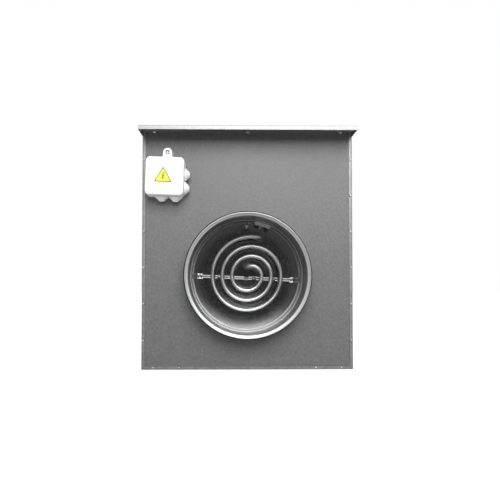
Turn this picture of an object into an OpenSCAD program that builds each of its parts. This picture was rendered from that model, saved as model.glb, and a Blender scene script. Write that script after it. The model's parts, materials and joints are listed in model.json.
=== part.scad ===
// Electric duct air heater: a galvanised cabinet round a 200 mm duct, with a spiral sheathed
// element, a spring loaded two-flap damper and an electrical compartment above the duct.
// Millimetres, +Z up. The front, where the air comes in, faces -Y. The origin is on the floor,
// under the middle of the cabinet.

/* [Casing] */
// Width over the side panels
casing_w = 340; // [320:1:400]
// Depth from front hem to rear hem
casing_d = 220; // [210:1:300]
// Height of the side panels, up to the underside of the cover
casing_h = 383.2; // [370:0.1:420]
// Thickness of the casing sheet
sheet = 1; // [0.8:0.1:1.2]
// Width of the folded hem round the front and rear openings
hem = 5; // [4.5:0.5:8]
// How far the cover stands out past the front and rear
overhang = 48; // [44:1:60]
// Height of the cover's turned-down lip
lip_h = 6.5; // [5:0.5:10]
// Thickness of the cover sheet
cover_t = 0.8; // [0.6:0.1:1]

/* [Duct] */
// Outer radius of the spigots
spigot_r = 99; // [98:0.1:99.5]
// Length of a spigot outside its panel
spigot_len = 38; // [34:1:42]
// Height of the duct's axis above the floor
duct_z = 151; // [145:1:160]
// Inner radius of the cassette tube that carries element and damper
cassette_r = 96.9; // [96.5:0.1:97]
// Thickness of the duct sheet
duct_t = 0.7; // [0.5:0.1:0.8]

/* [Heating element] */
// Diameter of the sheathed tube
tube_d = 6.5; // [6:0.1:7]
// Radius of the outermost half turn
turn_r = 67.5; // [64:0.5:69]
// How much smaller each half turn is than the one before
turn_step = 8.4; // [8.2:0.1:8.5]
// Depth of the front layer of turns behind the front hem
front_layer = 75; // [70:1:80]
// Distance from the front layer back to the rear layer
layer_gap = 20; // [16:1:22]

/* [Damper] */
// Depth of the damper rod behind the front hem
damper_depth = 134; // [132:1:136]
// Distance of the rod below the duct's axis
rod_drop = 4; // [3:0.5:5]
// Slope of the rod, down towards +X
rod_tilt = 2.4; // [0:0.1:3]
// Diameter of the rod
rod_d = 3; // [2.5:0.1:3]
// Radius of the half-disc flaps
flap_r = 95.5; // [95:0.1:95.6]
// Thickness of a flap
flap_t = 0.8; // [0.6:0.1:0.8]

/* [Junction box] */
// Side of the square box
jb_size = 61; // [60:1:70]
// Depth of the base tub
jb_depth = 27; // [24:1:30]
// Thickness of the snap lid
jb_lid = 9; // [8:0.5:10]
// Centre of the box, across
jb_x = -131; // [-132:1:-120]
// Centre of the box, up
jb_z = 307; // [300:1:320]
// How far the box is turned clockwise
jb_turn = 1.8; // [0:0.1:3]

/* [Hidden] */
$fn = 96;

zinc = [0.62, 0.63, 0.63];
bright_zinc = [0.78, 0.79, 0.8];
black_rubber = [0.06, 0.06, 0.06];
white_plastic = [0.93, 0.93, 0.92];
wool = [0.74, 0.68, 0.48];
ceramic = [0.9, 0.88, 0.82];
brass = [0.78, 0.62, 0.32];
grey_plastic = [0.6, 0.62, 0.64];

half_w = casing_w / 2;
half_d = casing_d / 2;
gap = 0.1;                          // play between sheets that only lie beside each other
cover_w = casing_w + 2 * (cover_t + 0.2);
cover_d = casing_d + 2 * overhang;
flange_d = 20;                      // depth of the panels' top flange, under the cover
flange_half = half_w - hem - 1;     // half the length of that flange
screw_x = 149;                      // the outer cover screws, from the middle
screw_r = 1.75;
rivet_r = 1.6;
rivet_pitch = 58.5;
rivet_rows = [for (i = [0:5]) 46 + i * rivet_pitch];
rivet_columns = [-151, -110, 110, 151];

floor_z = 262;                      // underside of the compartment floor
neck_r = spigot_r - 0.6;            // outside of a spigot from the panel inwards
duct_in = neck_r + gap;             // the duct tube slides over the spigots' necks
duct_out = duct_in + duct_t;
duct_half = half_d - 2 * sheet - 0.8;
cassette_out = cassette_r + duct_t;
cassette_y = [-9, 62];

front_y = -half_d + front_layer;
rear_y = front_y + layer_gap;
damper_y = -half_d + damper_depth;
rod_z = duct_z - rod_drop;
leg_front = [24.5, 0];
leg_rear = [27, 15];
leg_top = 276;
leg_list = [leg_front, leg_rear];
flange_angle = 72;
rail_y = -55;
rail_z = floor_z + sheet;
block_pitch = 6.2;
block_count = 5;
cutout_x = 118;
cutout_z = 322;
bulb_x = 0.5;
bulb_z = duct_z + 86.5;
stud_x = -60;
stud_y = 45;

// ---- shared shapes ----

// Puts a shape that was drawn along +Z on the duct's axis, pointing to -Y, with z = 0 at y
module on_duct(y) translate([0, y, duct_z]) rotate([90, 0, 0]) children();

// A ring on the duct's axis from y0 to y1
module duct_ring(r_in, r_out, y0, y1) on_duct(y1) difference() {
    cylinder(r = r_out, h = y1 - y0, $fn = 180);
    translate([0, 0, -1]) cylinder(r = r_in, h = y1 - y0 + 2, $fn = 180);
}

// A ring whose cross-section is a polygon of [radius, y]
module duct_profile(points) on_duct(0) rotate_extrude($fn = 180)
    polygon([for (p = points) [p[0], -p[1]]]);

// A cylinder along Y, from y0 to y1
module along_y(x, z, r, y0, y1) translate([x, y1, z]) rotate([90, 0, 0])
    cylinder(r = r, h = y1 - y0, $fn = 48);

// The rod's own frame: X along the rod, Z at right angles in the damper's plane
module on_rod() translate([0, damper_y, rod_z]) rotate([0, rod_tilt, 0]) children();

function unit(v) = v / norm(v);

// The direction of a path at its point i
function heading(path, i) = unit(path[min(i + 1, len(path) - 1)] - path[max(i - 1, 0)]);

// Each ring's own up direction, carried along the path without twisting
function carried(path, i, up) = i == len(path) ? [] :
    let (along = heading(path, i), here = unit(up - along * (up * along)))
    concat([here], carried(path, i + 1, here));

// A tube swept along a path
module swept(path, r, sides) {
    last = len(path) - 1;
    step = 360 / sides;
    ups = carried(path, 0, abs(heading(path, 0)[1]) > 0.8 ? [0, 0, 1] : [0, 1, 0]);
    polyhedron(
        points = [for (i = [0 : last]) let (side = cross(heading(path, i), ups[i]))
            for (k = [0 : sides - 1])
                path[i] + r * (cos(k * step) * ups[i] + sin(k * step) * side)],
        faces = concat(
            [for (i = [0 : last - 1], k = [0 : sides - 1]) [i * sides + k, (i + 1) * sides + k,
                (i + 1) * sides + (k + 1) % sides, i * sides + (k + 1) % sides]],
            [[for (k = [0 : sides - 1]) k]],
            [[for (k = [sides - 1 : -1 : 0]) last * sides + k]]),
        convexity = 10);
}

// A smooth curve through a few points, with n steps between each two
function smooth(points, n) = let (last = len(points) - 1) concat(
    [for (i = [0 : last - 1], j = [0 : n - 1]) let (t = j / n,
        a = points[max(i - 1, 0)], b = points[i], c = points[i + 1],
        d = points[min(i + 2, last)])
        0.5 * (2 * b + (c - a) * t + (2 * a - 5 * b + 4 * c - d) * t * t
            + (3 * b - a - 3 * c + d) * t * t * t)],
    [points[last]]);

// A bend from a to d that leaves towards b and arrives from c, without its first point
function bend(a, b, c, d, n) = [for (i = [1 : n]) let (t = i / n, s = 1 - t)
    s * s * s * a + 3 * s * s * t * b + 3 * s * t * t * c + t * t * t * d];

// A thin wire through a few points
module wire(points, r) swept(smooth(points, 4), r, 6);

// A square with round corners, centred, in the XY plane
module rounded_square(side, r) {
    square([side - 2 * r, side], center = true);
    square([side, side - 2 * r], center = true);
    for (x = [-1, 1], y = [-1, 1]) translate([x, y] * (side / 2 - r)) circle(r = r, $fn = 48);
}

// Every edge rivet's place: mirrored on X for the sides, and the row along the bottom hem
module at_rivets() {
    for (s = [-1, 1], z = rivet_rows) translate([s * (half_w - hem / 2), 0, z]) children();
    for (x = rivet_columns) translate([x, 0, hem / 2]) children();
}

// Both the front and the rear of the cabinet
module front_and_rear() {
    children();
    mirror([0, 1, 0]) children();
}

// ---- casing ----

module casing_wrap() color(zinc) difference() {
    union() {
        difference() {
            translate([-half_w, -half_d, 0]) cube([casing_w, casing_d, casing_h]);
            translate([-half_w + sheet, -half_d - 1, sheet])
                cube([casing_w - 2 * sheet, casing_d + 2, casing_h]);
        }
        front_and_rear() difference() {
            translate([-half_w, -half_d, 0]) cube([casing_w, sheet, casing_h]);
            translate([-half_w + hem, -half_d - 1, hem])
                cube([casing_w - 2 * hem, sheet + 2, casing_h]);
        }
    }
    front_and_rear() at_rivets() along_y(0, 0, rivet_r, -half_d - 1, -half_d + 2);
}

// The front panel's plate and its top flange, which is turned out under the cover
module panel() {
    plate_w = casing_w - 2 * sheet - 2 * gap;
    difference() {
        union() {
            translate([-plate_w / 2, -half_d + sheet, sheet + gap])
                cube([plate_w, sheet, casing_h - sheet - gap]);
            translate([-flange_half, -half_d + sheet - flange_d, casing_h - sheet])
                cube([2 * flange_half, flange_d + sheet, sheet]);
        }
        on_duct(0) cylinder(r = neck_r + gap, h = casing_d, $fn = 180);
        at_rivets() along_y(0, 0, rivet_r, -half_d, -half_d + 3);
        for (x = [-screw_x, 0, screw_x]) translate([x, -half_d - 9, casing_h - 2])
            cylinder(r = screw_r, h = 3, $fn = 32);
    }
}

module front_panel() color(zinc) difference() {
    panel();
    along_y(jb_x, jb_z, 8, -half_d, -half_d + 3);
    jb_place() for (p = jb_screw_places) translate([p[0], p[1], -3])
        cylinder(r = screw_r, h = 6, $fn = 32);
}

module rear_panel() color(zinc) difference() {
    mirror([0, 1, 0]) panel();
    along_y(cutout_x, cutout_z, 5, half_d - 3, half_d);
}

module top_cover() color(bright_zinc) difference() {
    translate([-cover_w / 2, -cover_d / 2, casing_h + cover_t - lip_h])
        cube([cover_w, cover_d, lip_h]);
    translate([-cover_w / 2 + cover_t, -cover_d / 2 + cover_t, casing_h - lip_h])
        cube([cover_w - 2 * cover_t, cover_d - 2 * cover_t, lip_h]);
    front_and_rear() for (x = [-screw_x, 0, screw_x])
        translate([x, -half_d - 9, casing_h - 1]) cylinder(r = screw_r, h = 3, $fn = 32);
}

module cover_screws() color(bright_zinc) front_and_rear() for (x = [-screw_x, 0, screw_x])
    translate([x, -half_d - 9, casing_h - sheet]) {
        translate([0, 0, -0.01]) cylinder(r = screw_r, h = sheet + cover_t - 0.1, $fn = 32);
        translate([0, 0, -1.2]) cylinder(r = 3.8, h = 1.2, $fn = 32);
        translate([0, 0, -2.6]) difference() {
            cylinder(r1 = 2.4, r2 = 3.8, h = 1.4, $fn = 32);
            translate([0, 0, -0.1]) cube([3.4, 0.8, 1.6], center = true);
            translate([0, 0, -0.1]) cube([0.8, 3.4, 1.6], center = true);
        }
    }

module edge_rivets() color(bright_zinc) front_and_rear() at_rivets() {
    along_y(0, 0, rivet_r - 0.1, -half_d - 0.5, -half_d + 2 * sheet + 0.6);
    translate([0, -half_d - 0.02, 0]) intersection() {
        translate([0, 1.9, 0]) sphere(r = 3, $fn = 32);
        translate([-3, -2, -3]) cube([6, 2, 6]);
    }
}

// ---- duct ----

// Spigot sheet: rolled rim, seal groove, straight run, neck, flange behind the panel, sleeve
module spigot() {
    rim_y = -half_d - spigot_len;
    groove = [rim_y + 7, rim_y + 9, rim_y + 14, rim_y + 16];
    depth = 4.4;
    in_r = spigot_r - duct_t;
    neck_y = -half_d + sheet - 0.2;
    flange_y = -half_d + 2 * sheet;
    sleeve_y = flange_y + 18;
    duct_profile([[spigot_r - 2, rim_y], [spigot_r, rim_y], [spigot_r, groove[0]],
        [spigot_r - depth, groove[1]], [spigot_r - depth, groove[2]], [spigot_r, groove[3]],
        [spigot_r, neck_y], [neck_r, neck_y], [neck_r, flange_y], [spigot_r + 12, flange_y],
        [spigot_r + 12, flange_y + duct_t], [neck_r, flange_y + duct_t], [neck_r, sleeve_y],
        [neck_r - duct_t, sleeve_y], [neck_r - duct_t, neck_y - duct_t],
        [in_r, neck_y - duct_t], [in_r, groove[3] + 0.3], [in_r - depth, groove[2] + 0.3],
        [in_r - depth, groove[1] - 0.3], [in_r, groove[0] - 0.3], [in_r, rim_y + 3],
        [spigot_r - 2, rim_y + 3]]);
}

module front_spigot() color(bright_zinc) spigot();
module rear_spigot() color(bright_zinc) mirror([0, 1, 0]) spigot();

// Lip seal, as it lies when a duct is pushed over it
module seal() {
    rim_y = -half_d - spigot_len;
    base_r = spigot_r - 4.4;
    lip_r = spigot_r + 0.15;
    duct_profile([[base_r, rim_y + 9], [base_r + 2, rim_y + 9], [lip_r, rim_y + 11],
        [base_r + 2.4, rim_y + 11], [lip_r, rim_y + 13], [base_r + 2, rim_y + 14],
        [base_r, rim_y + 14]]);
}

module front_seal() color(black_rubber) seal();
module rear_seal() color(black_rubber) mirror([0, 1, 0]) seal();

// Upright holes for the element's legs and the sensor's capillary
module leg_holes(r) {
    for (p = leg_list) translate([p[0], p[1], duct_z + 60]) cylinder(r = r, h = 60, $fn = 48);
    translate([bulb_x, 20, duct_z + 60]) cylinder(r = max(1.2, r - 2.2), h = 60, $fn = 48);
}

module duct_tube() color(bright_zinc) difference() {
    duct_ring(duct_in, duct_out, -duct_half, duct_half);
    leg_holes(tube_d / 2 + gap);
}

module cassette_tube() color(bright_zinc) difference() {
    union() {
        duct_ring(cassette_r, cassette_out, cassette_y[0], cassette_y[1]);
        duct_ring(cassette_out, duct_in - gap, cassette_y[0], cassette_y[0] + duct_t);
        duct_ring(cassette_out, duct_in - gap, cassette_y[1] - duct_t, cassette_y[1]);
    }
    leg_holes(tube_d / 2 + gap);
    on_rod() rotate([0, 90, 0]) translate([0, 0, -110]) cylinder(r = rod_d / 2 + 0.05, h = 220);
}

module insulation() color(wool) difference() {
    translate([-half_w + sheet + 0.2, -duct_half, sheet + 0.2])
        cube([casing_w - 2 * sheet - 0.4, 2 * duct_half, floor_z - sheet - 0.4]);
    duct_ring(0, duct_out + 0.2, -half_d, half_d);
    leg_holes(9);
    translate([stud_x, stud_y, floor_z - 5]) cylinder(r = 4, h = 6, $fn = 48);
}

module compartment_floor() color(zinc) difference() {
    union() {
        translate([-half_w + sheet + 0.2, -half_d + 2 * sheet + gap, floor_z])
            cube([casing_w - 2 * sheet - 0.4, casing_d - 4 * sheet - 2 * gap, sheet]);
        front_and_rear() translate([-half_w + 12, -half_d + 2 * sheet + gap, floor_z])
            cube([casing_w - 24, sheet, 12]);
    }
    leg_holes(5);
    translate([stud_x, stud_y, floor_z - 1]) cylinder(r = 3.05, h = 3, $fn = 48);
}

// ---- heating element ----

arc_step = 12;
bend_steps = 8;
inner_r = turn_r - 6 * turn_step;
start_angle = 82;                   // where a leg meets the outermost turn
leg_bottom = duct_z + 85;

function on_turn(x, y, r, a) = [x + r * cos(a), y, duct_z + r * sin(a)];

// An arc round a centre at the duct's height, without its first point
function turn(x, y, r, from, to) = let (n = ceil((to - from) / arc_step))
    [for (i = [1 : n]) on_turn(x, y, r, from + (to - from) * i / n)];

// Half turns one after another, each a step smaller. Odd ones pass below the axis, on its centre.
function half_turns(y, count) = [for (i = [1 : count])
    each turn(i % 2 == 0 ? turn_step : 0, y, turn_r - i * turn_step, i % 2 == 0 ? 0 : 180,
        i % 2 == 0 ? 180 : 360)];

// One leg and its layer of turns, from the terminal to where the tube doubles back
function layer(leg, y) = let (start = on_turn(turn_step, y, turn_r, start_angle),
        foot = [leg[0], leg[1], leg_bottom]) concat(
    [[leg[0], leg[1], leg_top], foot],
    bend(foot, foot - [0, 0, 16], start + 15 * [sin(start_angle), 0, -cos(start_angle)], start,
        bend_steps),
    turn(turn_step, y, turn_r, start_angle, 180),
    half_turns(y, 5),
    turn(turn_step, y, inner_r, 0, 90));

function backwards(path) = [for (i = [len(path) - 1 : -1 : 0]) path[i]];

// The tube is a hairpin, wound with one of its legs straight behind the other
hairpin = [for (a = [arc_step : arc_step : 180 - arc_step])
    [turn_step - layer_gap / 2 * sin(a), front_y + layer_gap / 2 * (1 - cos(a)), duct_z + inner_r]];
element_path = concat(layer(leg_front, front_y), hairpin, backwards(layer(leg_rear, rear_y)));

module heating_element() color([0.72, 0.72, 0.7]) swept(element_path, tube_d / 2, 10);

// Saddle plate inside the cassette, with a front edge turned into the duct
module element_flange() color(bright_zinc) difference() {
    on_duct(cassette_y[0] + 29) rotate([0, 0, flange_angle - 8]) rotate_extrude(angle = 17)
        polygon([[cassette_r - 1.3, 0], [cassette_r - 0.1, 0], [cassette_r - 0.1, 28],
            [cassette_r - 6, 28], [cassette_r - 6, 27], [cassette_r - 1.3, 27]]);
    leg_holes(tube_d / 2 + gap);
}

module terminal_insulators() color(ceramic) for (p = leg_list)
    translate([p[0], p[1], leg_top]) difference() {
        union() {
            cylinder(r = 3.6, h = 9, $fn = 48);
            translate([0, 0, 2]) cylinder(r = 4.2, h = 3, $fn = 48);
        }
        translate([0, 0, -1]) cylinder(r = 2.05, h = 12, $fn = 48);
    }

module terminal_studs() color(brass) for (p = leg_list)
    translate([p[0], p[1], leg_top]) cylinder(r = 2, h = 22, $fn = 32);

module hex_nut(across, h, bore_r) difference() {
    cylinder(d = across / cos(30), h = h, $fn = 6);
    translate([0, 0, -1]) cylinder(r = bore_r, h = h + 2, $fn = 32);
}

module terminal_nuts() color(bright_zinc) for (p = leg_list, z = [9, 15.2])
    translate([p[0], p[1], leg_top + z]) hex_nut(7, 3.2, 2.05);

module sensor_bulb() color(bright_zinc) {
    along_y(bulb_x, bulb_z, 2.6, -14, 16);
    translate([bulb_x, -14, bulb_z]) sphere(r = 2.6, $fn = 32);
}

module sensor_clip() color(bright_zinc) intersection() {
    duct_ring(0, cassette_r - 0.1, -12, 12);
    difference() {
        union() {
            along_y(bulb_x, bulb_z, 3.5, -6, 2);
            for (x = [-3.4, 2.6]) translate([bulb_x + x, -6, bulb_z]) cube([0.8, 8, 12]);
        }
        along_y(bulb_x, bulb_z, 2.65, -7, 3);
    }
}

// ---- damper ----

module damper_rod() color(bright_zinc) on_rod() rotate([0, 90, 0])
    translate([0, 0, -cassette_out]) cylinder(r = rod_d / 2, h = 2 * cassette_out, $fn = 32);

module rod_clips() color(bright_zinc) on_rod() for (s = [-1, 1])
    translate([s * 96.05 - 0.3, 0, 0]) rotate([0, 90, 0]) difference() {
        cylinder(r = 4, h = 0.6, $fn = 32);
        translate([0, 0, -1]) cylinder(r = rod_d / 2 + 0.02, h = 3, $fn = 32);
    }

module damper_stop_ring() color(bright_zinc) difference() {
    duct_ring(cassette_r - 2.6, cassette_r - 0.05, damper_y - 2.2, damper_y - 0.8);
    on_rod() rotate([0, 90, 0]) translate([0, 0, -110]) cylinder(r = 5, h = 220);
}

knuckle_r = 2.7;
knuckle_l = 8;
flap_start = 2.4;                   // from the rod's axis to the flap's straight edge
spring_room = 4.6;                  // half the height of the openings for the springs

// One flap, drawn above the rod in the rod's frame. Its knuckles and the places where it makes
// room for the other flap's are given as their centres along X.
module flap(side, knuckles, others) difference() {
    union() {
        intersection() {
            duct_ring(0, flap_r, damper_y - flap_t / 2, damper_y + flap_t / 2);
            on_rod() mirror([0, 0, side < 0 ? 1 : 0]) difference() {
                translate([-100, -1, flap_start]) cube([200, 2, 110]);
                for (s = [-1, 1]) translate([s * 89 - 10.5, -2, 0]) cube([21, 4, spring_room]);
                for (x = others) translate([x - knuckle_l / 2 - 0.4, -2, 0])
                    cube([knuckle_l + 0.8, 4, knuckle_r + 0.4]);
            }
        }
        on_rod() mirror([0, 0, side < 0 ? 1 : 0]) for (x = knuckles) {
            translate([x - knuckle_l / 2, 0, 0]) rotate([0, 90, 0])
                cylinder(r = knuckle_r, h = knuckle_l, $fn = 48);
            translate([x - knuckle_l / 2, -flap_t / 2, 1.8]) cube([knuckle_l, flap_t, 1.5]);
        }
    }
    on_rod() rotate([0, 90, 0]) translate([0, 0, -99]) cylinder(r = rod_d / 2 + 0.05, h = 198);
}

upper_knuckles = [-60, 0, 60];
lower_knuckles = [-48, 14, 48];
module flap_upper() color([0.5, 0.51, 0.52]) flap(1, upper_knuckles, lower_knuckles);
module flap_lower() color([0.5, 0.51, 0.52]) flap(-1, lower_knuckles, upper_knuckles);

// Torsion springs: an open coil round each end of the rod. Both legs lie in front of the flaps,
// one pointing up and one down.
spring_r = 3.4;
spring_wire = 0.6;
spring_turns = 3;
spring_steps = 14;
spring_x0 = 79.5;
spring_len = 15.3;
spring_leg = 7;

function spring_point(t) = [spring_x0 + spring_len * t / (spring_turns * 360),
    -spring_r * cos(t), -spring_r * sin(t)];
spring_coil = concat(
    [for (z = [spring_leg, spring_leg / 2]) [spring_x0, -spring_r, z]],
    [for (i = [0 : spring_turns * spring_steps]) spring_point(i * 360 / spring_steps)],
    [for (z = [spring_leg / 2, spring_leg]) [spring_x0 + spring_len, -spring_r, -z]]);
module damper_springs() color(bright_zinc) on_rod() for (s = [0, 1]) mirror([s, 0, 0])
    swept(spring_coil, spring_wire, 6);

// ---- junction box ----

// The box's own frame: X to the right, Y up, Z out of the front panel
module jb_place() translate([jb_x, -half_d + sheet, jb_z]) rotate([0, jb_turn, 0])
    rotate([90, 0, 0]) children();

jb_wall = 1.8;
jb_corner = 7;
post = [3.5, jb_size / 2 + 7];      // centre of the post that takes the lid's screw
post_r = 7;
ear_top = jb_depth + jb_lid - 2;    // front face of the lid's ear
recess = 3.2;                       // how deep the screw's head sits in the ear
jb_screw_places = [[-24.4, 20], [22, -22]];
entry_r = 10.5;

// A round post and the web that joins it to the box's wall
module post_shape() {
    translate(post) circle(r = post_r, $fn = 48);
    translate([post[0] - post_r, jb_size / 2 - 1]) square([2 * post_r, 8]);
}

module junction_box_base() color(white_plastic) jb_place() difference() {
    union() {
        linear_extrude(jb_depth) rounded_square(jb_size, jb_corner);
        linear_extrude(jb_depth) post_shape();
    }
    translate([0, 0, jb_wall]) linear_extrude(jb_depth)
        rounded_square(jb_size - 2 * jb_wall, jb_corner - jb_wall);
    translate([post[0], post[1], jb_depth - 14]) cylinder(r = 1.85, h = 20, $fn = 32);
    for (p = jb_screw_places) translate([p[0], p[1], -1])
        cylinder(r = screw_r + gap, h = 8, $fn = 32);
    translate([0, 0, -1]) cylinder(r = 8, h = 4, $fn = 48);
    at_entries() translate([0, 0, -4]) cylinder(r = 8.5, h = 6, $fn = 48);
}

// Places for the entry membranes, each with +Z out of the box's side
module at_entries() {
    depth = 14;
    for (y = [5.5, -16.5]) translate([jb_size / 2, y, depth]) rotate([0, 90, 0]) children();
    for (x = [-5, 17]) translate([x, -jb_size / 2, depth]) rotate([90, 0, 0]) children();
}

module cable_entries() color(white_plastic) jb_place() at_entries() {
    translate([0, 0, -jb_wall - 1.5]) cylinder(r = 8.4, h = jb_wall + 1.5, $fn = 48);
    translate([0, 0, 0.02]) cylinder(r1 = entry_r, r2 = entry_r - 1.5, h = 3, $fn = 48);
    translate([0, 0, 3.01]) cylinder(r1 = 8, r2 = 4.5, h = 5, $fn = 48);
    translate([0, 0, -0.01]) cylinder(r = 8.4, h = 3.1, $fn = 48);
}

module junction_box_lid() color(white_plastic) jb_place() difference() {
    union() {
        translate([0, 0, jb_depth + 0.3]) linear_extrude(jb_lid - 3)
            rounded_square(jb_size, jb_corner);
        translate([0, 0, jb_depth + jb_lid - 2.7]) linear_extrude(1.5)
            rounded_square(jb_size - 1.6, jb_corner - 0.8);
        translate([0, 0, jb_depth + jb_lid - 1.2]) linear_extrude(1.2)
            rounded_square(jb_size - 4, jb_corner - 2);
        translate([0, 0, jb_depth - 2.7]) linear_extrude(4)
            rounded_square(jb_size - 2 * jb_wall - 0.6, jb_corner - jb_wall - 0.3);
        translate([0, 0, jb_depth + 0.3]) linear_extrude(ear_top - jb_depth - 0.3) post_shape();
    }
    translate([0, 0, jb_depth - 4]) linear_extrude(jb_lid + 2)
        rounded_square(jb_size - 4 * jb_wall, jb_corner - 2 * jb_wall);
    translate([post[0], post[1], jb_depth - 1]) cylinder(r = screw_r, h = 20, $fn = 32);
    translate([post[0], post[1], ear_top - recess]) cylinder(r = 3.8, h = 10, $fn = 48);
}

// Held in the lid's ear, and screwed into the base's post
module lid_screw() color(bright_zinc) jb_place()
    translate([post[0], post[1], ear_top - recess + 0.02]) {
        difference() {
            union() {
                cylinder(r = 2.9, h = 1, $fn = 32);
                translate([0, 0, 0.99]) cylinder(r1 = 2.9, r2 = 1.9, h = 0.9, $fn = 32);
            }
            translate([0, 0, 1.9]) cube([4, 0.8, 1.4], center = true);
        }
        translate([0, 0, -14]) cylinder(r = 1.5, h = 14.01, $fn = 32);
    }

// Two screws through the base's back into the front panel
module junction_box_screws() color(bright_zinc) jb_place() for (p = jb_screw_places)
    translate([p[0], p[1], jb_wall]) {
        cylinder(r = 3.6, h = 1.4, $fn = 32);
        translate([0, 0, 1.39]) difference() {
            cylinder(r1 = 3.6, r2 = 2.2, h = 1, $fn = 32);
            translate([0, 0, 1]) cube([3.2, 0.8, 1.4], center = true);
            translate([0, 0, 1]) cube([0.8, 3.2, 1.4], center = true);
        }
        translate([0, 0, -5.3]) cylinder(r = screw_r - 0.02, h = 5.31, $fn = 32);
    }

// Five-way screw connector strip lying on the base
module junction_box_terminals() color(grey_plastic) jb_place() for (i = [-2:2])
    translate([i * 8, 18, jb_wall]) difference() {
        translate([-3.9, -8, 0]) cube([7.8, 16, 14]);
        translate([0, -9, 6]) rotate([-90, 0, 0]) cylinder(r = 2, h = 18, $fn = 24);
        for (y = [-4, 4]) translate([0, y, 8]) cylinder(r = 1.8, h = 7, $fn = 24);
    }

sign_side = 28;
module hazard_sign() color([0.98, 0.93, 0.16]) jb_place()
    translate([-2.1, -1.6, jb_depth + jb_lid]) linear_extrude(0.25) rotate([0, 0, 90])
        circle(r = sign_side / sqrt(3), $fn = 3);

module cable_bushing() color(black_rubber) difference() {
    union() {
        along_y(jb_x, jb_z, 7.95, -half_d + sheet - jb_wall - 0.5, -half_d + 2 * sheet + 0.5);
        along_y(jb_x, jb_z, 10, -half_d + 2 * sheet, -half_d + 2 * sheet + 3);
        along_y(jb_x, jb_z, 10, -half_d + sheet - jb_wall - 2.5, -half_d + sheet - jb_wall);
    }
    along_y(jb_x, jb_z, 5, -half_d - 8, -half_d + 12);
}

// ---- electrical compartment ----

// Top-hat rail along X
module terminal_rail() color(bright_zinc) translate([-130, rail_y, rail_z]) rotate([90, 0, 90])
    linear_extrude(90) polygon([[-13.5, 0], [13.5, 0], [13.5, 6.5], [17.5, 6.5], [17.5, 7.5],
        [12.5, 7.5], [12.5, 1], [-12.5, 1], [-12.5, 7.5], [-17.5, 7.5], [-17.5, 6.5],
        [-13.5, 6.5]]);

module terminal_blocks() color(grey_plastic) for (i = [0 : block_count - 1])
    translate([-105 + i * block_pitch, rail_y, rail_z + 7.6]) difference() {
        union() {
            translate([0, -21, 0]) cube([block_pitch - 0.2, 42, 22]);
            translate([0, -13, 21]) cube([block_pitch - 0.2, 26, 12]);
        }
        for (s = [-1, 1]) translate([block_pitch / 2 - 0.1, s * 16, 15])
            cylinder(r = 1.8, h = 10, $fn = 24);
        for (s = [-1, 1]) translate([block_pitch / 2 - 0.1, s * 22, 9]) rotate([90, 0, 0])
            translate([0, 0, -5]) cylinder(r = 1.9, h = 10, $fn = 24);
    }

module rail_end_stops() color(grey_plastic)
    for (x = [-105 - 9.2, -105 + block_count * block_pitch + 0.2])
        translate([x, rail_y - 19, rail_z + 7.6]) cube([8.8, 38, 16]);

module working_thermostat() color([0.2, 0.2, 0.21]) translate([60, -70, rail_z]) {
    cube([44, 38, 30]);
    translate([22, 19, 29.9]) cylinder(r = 5, h = 7, $fn = 48);
    translate([22, 19, 36]) cylinder(r = 3, h = 13, $fn = 48);
}

module manual_cutout() color([0.2, 0.2, 0.21]) difference() {
    union() {
        translate([cutout_x - 17, half_d - 40, cutout_z - 14]) cube([34, 37.9, 28]);
        along_y(cutout_x, cutout_z, 4.95, half_d - 4, half_d + 6);
    }
    along_y(cutout_x, cutout_z, 2.6, half_d - 12, half_d + 7);
}

module reset_bushing() color(bright_zinc) translate([cutout_x, half_d - sheet, cutout_z])
    rotate([-90, 0, 0]) hex_nut(14, 4, 5);

module reset_button() color([0.75, 0.08, 0.06]) {
    along_y(cutout_x, cutout_z, 2.5, half_d - 8, half_d + 8);
}

// From the bulb up through duct and floor, then across to the cutout
module capillary_tube() color([0.72, 0.45, 0.2]) wire([[bulb_x, 16.1, bulb_z],
    [bulb_x, 18.8, bulb_z + 0.6], [bulb_x, 20, bulb_z + 3], [bulb_x, 20, 247],
    [bulb_x, 20, 254], [bulb_x, 20, 263], [bulb_x, 20.5, 272], [8, 32, 282], [30, 55, 290],
    [72, 70, 297], [100, 77, 300], [110, 80, 303.5], [111, 80, cutout_z - 14.9]], 0.7);

// Line goes terminal block, cutout, thermostat, element; neutral goes straight. Each starts in
// the junction box and comes in through the bushing, at its own offset [across, up].
stud_top = leg_top + 13.7;
wire_r = 1.3;
function supply(across, up, ahead) = concat([for (y = [-half_d - 16, -half_d - 2, -half_d + 12])
    [jb_x + across, y, jb_z + up]], ahead);
function block_front(i, forth) = [-105 + (i + 0.5) * block_pitch - 0.1, rail_y - 21.2 - forth,
    rail_z + 16.6];
function block_rear(i, back) = [-105 + (i + 0.5) * block_pitch - 0.1, rail_y + 21.2 + back,
    rail_z + 16.6];

module line_wires() color([0.35, 0.2, 0.12]) {
    wire(supply(2.2, 0, [[-113, -85, 301], block_front(0, 5) + [0, 0, 8], block_front(0, 4),
        block_front(0, 0)]), wire_r);
    wire([block_rear(0, 0), block_rear(0, 8), [-100, -8, 300], [-20, 60, 330], [80, 78, 328],
        [93, 80, 326], [100.5, 80, 326]], wire_r);
    wire([[100.5, 84, 316], [94, 84, 316], [86, 60, 308], [86, -10, 294], [84.5, -24, 285],
        [84, -31.5, 284]], wire_r);
    wire([[66, -31.5, 284], [65.5, -25, 285], [50, -12, 290], [36, -3, stud_top],
        [leg_front[0] + 3.6, 0, stud_top]], wire_r);
}

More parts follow.
